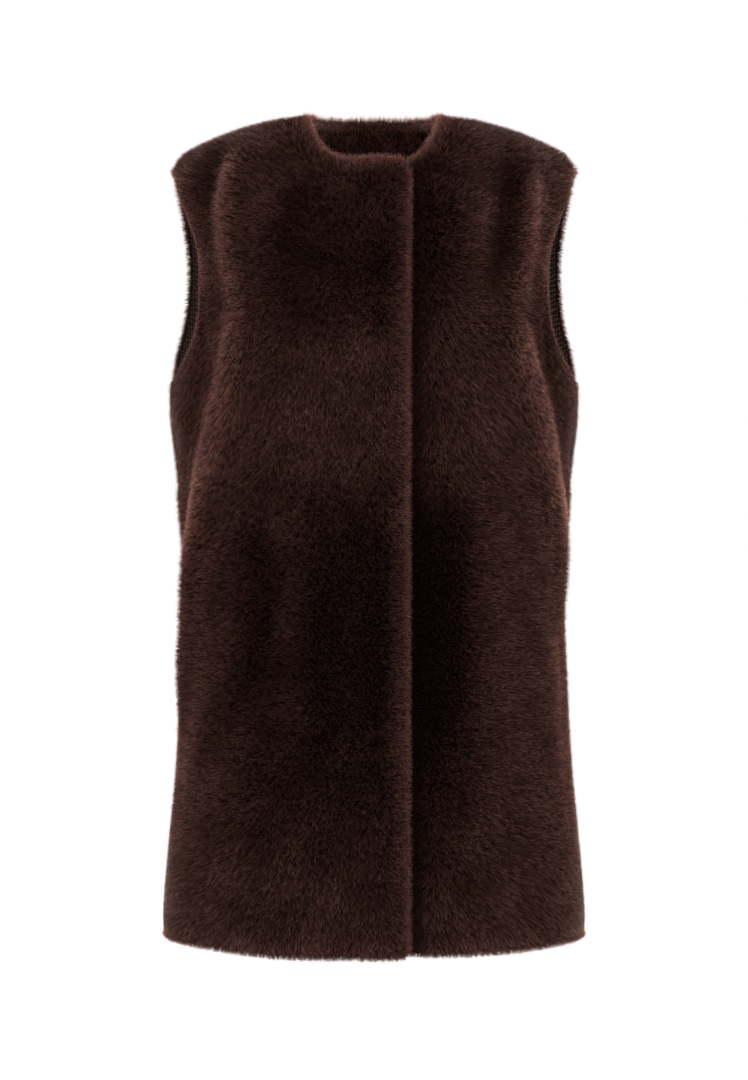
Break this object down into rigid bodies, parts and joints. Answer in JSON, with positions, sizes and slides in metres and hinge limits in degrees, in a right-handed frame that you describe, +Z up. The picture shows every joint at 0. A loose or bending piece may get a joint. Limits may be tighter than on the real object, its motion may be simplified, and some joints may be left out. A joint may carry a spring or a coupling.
{
  "type": "faux fur vest",
  "caption": "Long collarless vest of short dense faux fur, filled out as if worn, with overlapping fronts closed by hidden hooks.",
  "frame": {"origin": "midway between the two points where the shoulder seams meet the neck, at the underside of the cloth", "axes": "+Z up, -Y out of the front, +X to the wearer's left"},
  "size_m": [0.4514, 0.3053, 0.8822],
  "materials": {
    "brown_pile": "short dense pile",
    "dark_pile": "short dense pile",
    "covered_wire": "thread-covered"
  },
  "bodies": {
    "root": {"right_front": "brown_pile", "left_front": "brown_pile", "back": "brown_pile", "back_neck_facing": "dark_pile", "hook_neck": "covered_wire", "hook_chest": "covered_wire", "hook_waist": "covered_wire", "eye_neck": "covered_wire", "eye_chest": "covered_wire", "eye_waist": "covered_wire"}
  },
  "joints": []
}
